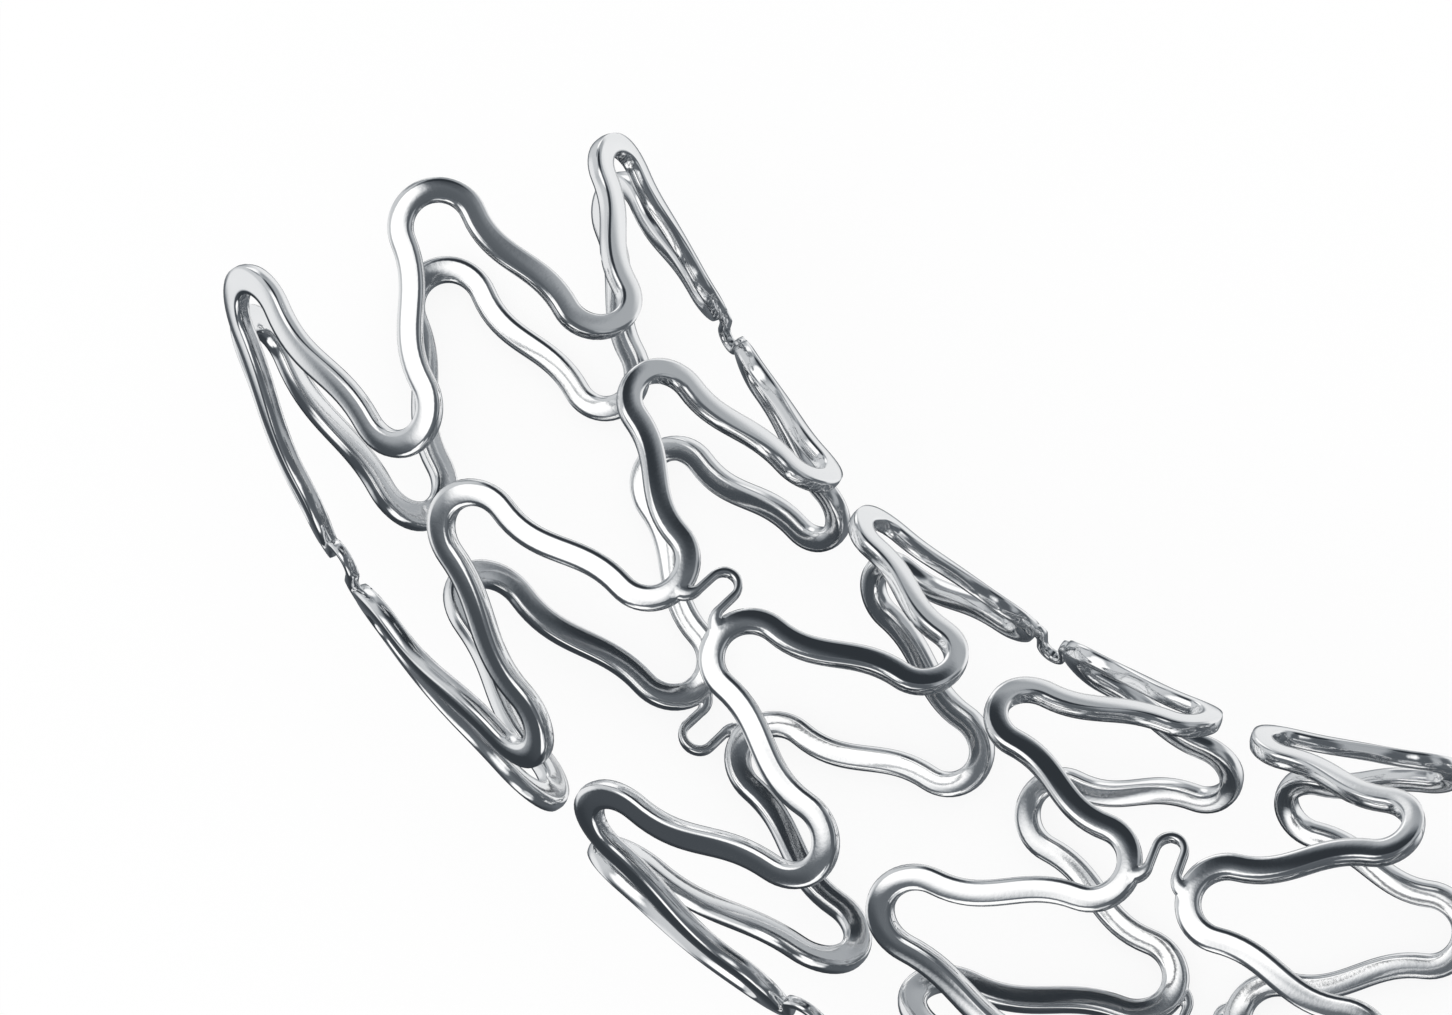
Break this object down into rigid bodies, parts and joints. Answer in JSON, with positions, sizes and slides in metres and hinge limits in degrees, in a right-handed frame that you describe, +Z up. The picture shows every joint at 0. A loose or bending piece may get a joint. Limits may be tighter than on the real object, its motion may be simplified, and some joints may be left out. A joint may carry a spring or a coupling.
{
  "type": "vascular stent",
  "caption": "Bent open metal tube of zig-zag rings joined by thin hairpin links, for holding a narrow blood vessel open.",
  "frame": {"origin": "centre of the bounding box in X and Y, on the floor the stent lies on", "axes": "+X along the chord between the two ends, +Y toward the centre of the bend, +Z up, square to the plane of the bend"},
  "size_m": [0.0134, 0.005, 0.0035],
  "materials": {
    "polished_metal": "electropolished, mirror bright"
  },
  "bodies": {
    "root": {"stent": "polished_metal"}
  },
  "joints": []
}
